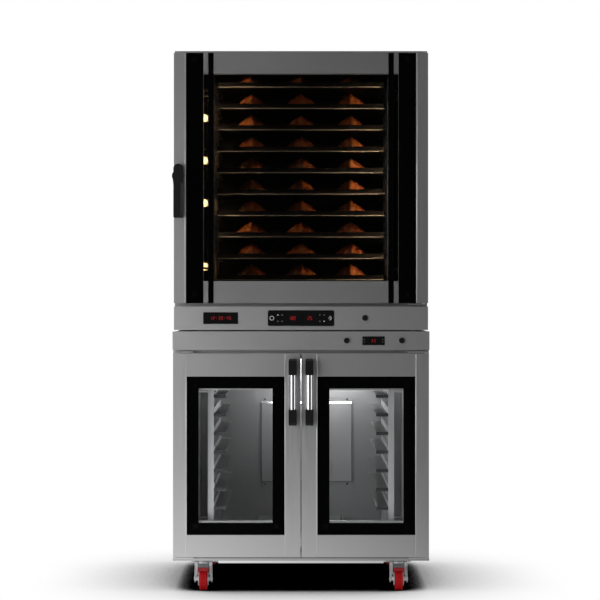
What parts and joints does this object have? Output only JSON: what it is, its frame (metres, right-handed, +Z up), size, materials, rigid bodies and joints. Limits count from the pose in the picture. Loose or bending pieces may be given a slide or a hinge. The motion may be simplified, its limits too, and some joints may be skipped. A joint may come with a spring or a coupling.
{
  "type": "convection oven with proofer",
  "caption": "Tall stainless convection oven with a glass side-hung door and baking trays, stacked on a two-door glazed proofer cabinet on swivel castors.",
  "frame": {"origin": "on the floor under the middle of the whole object", "axes": "+Z up, front with the doors towards -Y, +X to the right seen from the front"},
  "size_m": [0.9, 1.05, 1.9],
  "materials": {
    "stainless": "brushed stainless sheet",
    "dark_steel": "stainless sheet in the dark of the chambers",
    "polished_steel": "polished tube and wire",
    "zinc_steel": "zinc-plated pressed steel",
    "tray_steel": "dark coated tray sheet",
    "element": "oxidised heater tube",
    "motor_paint": "satin motor paint",
    "black_plastic": "satin black",
    "black_gloss": "glossy black window",
    "border": "black print behind glass",
    "glass": "clear toughened glass",
    "lamp_glass": "warm lamp lens",
    "seal": "silicone rubber",
    "brass": "turned brass",
    "castor_red": "red elastic tread",
    "pedal_red": "red moulded plastic"
  },
  "bodies": {
    "root": {"oven_casing": "stainless", "oven_rear_cover": "stainless", "oven_base": "dark_steel", "oven_chamber": "dark_steel", "oven_front_frame": "stainless", "oven_gasket": "seal", "oven_racks": "polished_steel", "baking_trays": "tray_steel", "fan_baffle": "dark_steel", "heating_elements": "element", "fan_motors": "motor_paint", "oven_lamps": "lamp_glass", "exhaust_flue": "stainless", "upper_fascia": "stainless", "status_display": "black_gloss", "main_panel": "black_gloss", "door_hinges": "zinc_steel", "latch_keeper": "zinc_steel", "water_inlet": "brass", "cable_gland": "black_plastic", "lower_fascia": "stainless", "proofer_thermostat": "black_gloss", "proofer_casing": "stainless", "proofer_rear_panel": "stainless", "proofer_chamber": "dark_steel", "proofer_base": "stainless", "proofer_racks": "polished_steel", "heater_cover": "stainless", "water_basin": "stainless", "proofer_gasket": "seal"},
    "oven_door": {"oven_door_frame": "stainless", "oven_outer_glass": "glass", "oven_glass_border": "border", "oven_inner_glass": "glass"},
    "lever": {"door_lever": "black_plastic"},
    "fan_top": {"upper_fan": "dark_steel"},
    "fan_bottom": {"lower_fan": "dark_steel"},
    "key_oven": {"oven_button": "black_plastic"},
    "key_power": {"power_button": "black_plastic"},
    "key_set": {"set_button": "black_plastic"},
    "proofer_door_left": {"left_door_frame": "stainless", "left_door_glass": "glass", "left_glass_border": "border", "left_handle_bar": "polished_steel", "left_handle_ends": "black_plastic"},
    "proofer_door_right": {"right_door_frame": "stainless", "right_door_glass": "glass", "right_glass_border": "border", "right_handle_bar": "polished_steel", "right_handle_ends": "black_plastic"},
    "castor_fl": {"front_left_fork": "zinc_steel"},
    "wheel_fl": {"front_left_wheel": "castor_red"},
    "castor_fr": {"front_right_fork": "zinc_steel"},
    "wheel_fr": {"front_right_wheel": "castor_red"},
    "castor_rl": {"rear_left_fork": "zinc_steel"},
    "wheel_rl": {"rear_left_wheel": "castor_red"},
    "castor_rr": {"rear_right_fork": "zinc_steel"},
    "wheel_rr": {"rear_right_wheel": "castor_red"},
    "pedal_left": {"left_brake_pedal": "pedal_red"},
    "pedal_right": {"right_brake_pedal": "pedal_red"}
  },
  "joints": [
    {"name": "oven_door_hinge", "type": "hinge", "parent": "root", "child": "oven_door", "pos_m": [0.43, -0.44, 1.449], "axis": [0, 0, 1], "range_deg": [0, 120]},
    {"name": "lever_turn", "type": "hinge", "parent": "oven_door", "child": "lever", "pos_m": [-0.4275, -0.475, 1.47], "axis": [0, -1, 0], "range_deg": [0, 90]},
    {"name": "upper_fan_spin", "type": "hinge", "parent": "root", "child": "fan_top", "pos_m": [0, 0.16, 1.63222], "axis": [0, 1, 0], "continuous": true},
    {"name": "lower_fan_spin", "type": "hinge", "parent": "root", "child": "fan_bottom", "pos_m": [0, 0.16, 1.27078], "axis": [0, 1, 0], "continuous": true},
    {"name": "oven_button_press", "type": "slide", "parent": "root", "child": "key_oven", "axis": [0, 1, 0], "range_m": [0, 0.0025], "stiffness_N_per_m": 300},
    {"name": "power_button_press", "type": "slide", "parent": "root", "child": "key_power", "axis": [0, 1, 0], "range_m": [0, 0.0025], "stiffness_N_per_m": 300},
    {"name": "set_button_press", "type": "slide", "parent": "root", "child": "key_set", "axis": [0, 1, 0], "range_m": [0, 0.0025], "stiffness_N_per_m": 300},
    {"name": "left_door_hinge", "type": "hinge", "parent": "root", "child": "proofer_door_left", "pos_m": [-0.438, -0.455, 0.478], "axis": [0, 0, -1], "range_deg": [0, 110]},
    {"name": "right_door_hinge", "type": "hinge", "parent": "root", "child": "proofer_door_right", "pos_m": [0.438, -0.455, 0.478], "axis": [0, 0, 1], "range_deg": [0, 110]},
    {"name": "swivel_fl", "type": "hinge", "parent": "root", "child": "castor_fl", "pos_m": [-0.344, -0.39, 0.1], "axis": [0, 0, 1], "continuous": true},
    {"name": "wheel_spin_fl", "type": "hinge", "parent": "castor_fl", "child": "wheel_fl", "pos_m": [-0.344, -0.418, 0.04], "axis": [1, 0, 0], "continuous": true},
    {"name": "swivel_fr", "type": "hinge", "parent": "root", "child": "castor_fr", "pos_m": [0.344, -0.39, 0.1], "axis": [0, 0, 1], "continuous": true},
    {"name": "wheel_spin_fr", "type": "hinge", "parent": "castor_fr", "child": "wheel_fr", "pos_m": [0.344, -0.418, 0.04], "axis": [1, 0, 0], "continuous": true},
    {"name": "swivel_rl", "type": "hinge", "parent": "root", "child": "castor_rl", "pos_m": [-0.344, 0.385, 0.1], "axis": [0, 0, 1], "continuous": true},
    {"name": "wheel_spin_rl", "type": "hinge", "parent": "castor_rl", "child": "wheel_rl", "pos_m": [-0.344, 0.357, 0.04], "axis": [1, 0, 0], "continuous": true},
    {"name": "swivel_rr", "type": "hinge", "parent": "root", "child": "castor_rr", "pos_m": [0.344, 0.385, 0.1], "axis": [0, 0, 1], "continuous": true},
    {"name": "wheel_spin_rr", "type": "hinge", "parent": "castor_rr", "child": "wheel_rr", "pos_m": [0.344, 0.357, 0.04], "axis": [1, 0, 0], "continuous": true},
    {"name": "left_brake", "type": "hinge", "parent": "castor_fl", "child": "pedal_left", "pos_m": [-0.344, -0.41, 0.0865], "axis": [1, 0, 0], "range_deg": [0, 4.5]},
    {"name": "right_brake", "type": "hinge", "parent": "castor_fr", "child": "pedal_right", "pos_m": [0.344, -0.41, 0.0865], "axis": [1, 0, 0], "range_deg": [0, 4.5]}
  ]
}
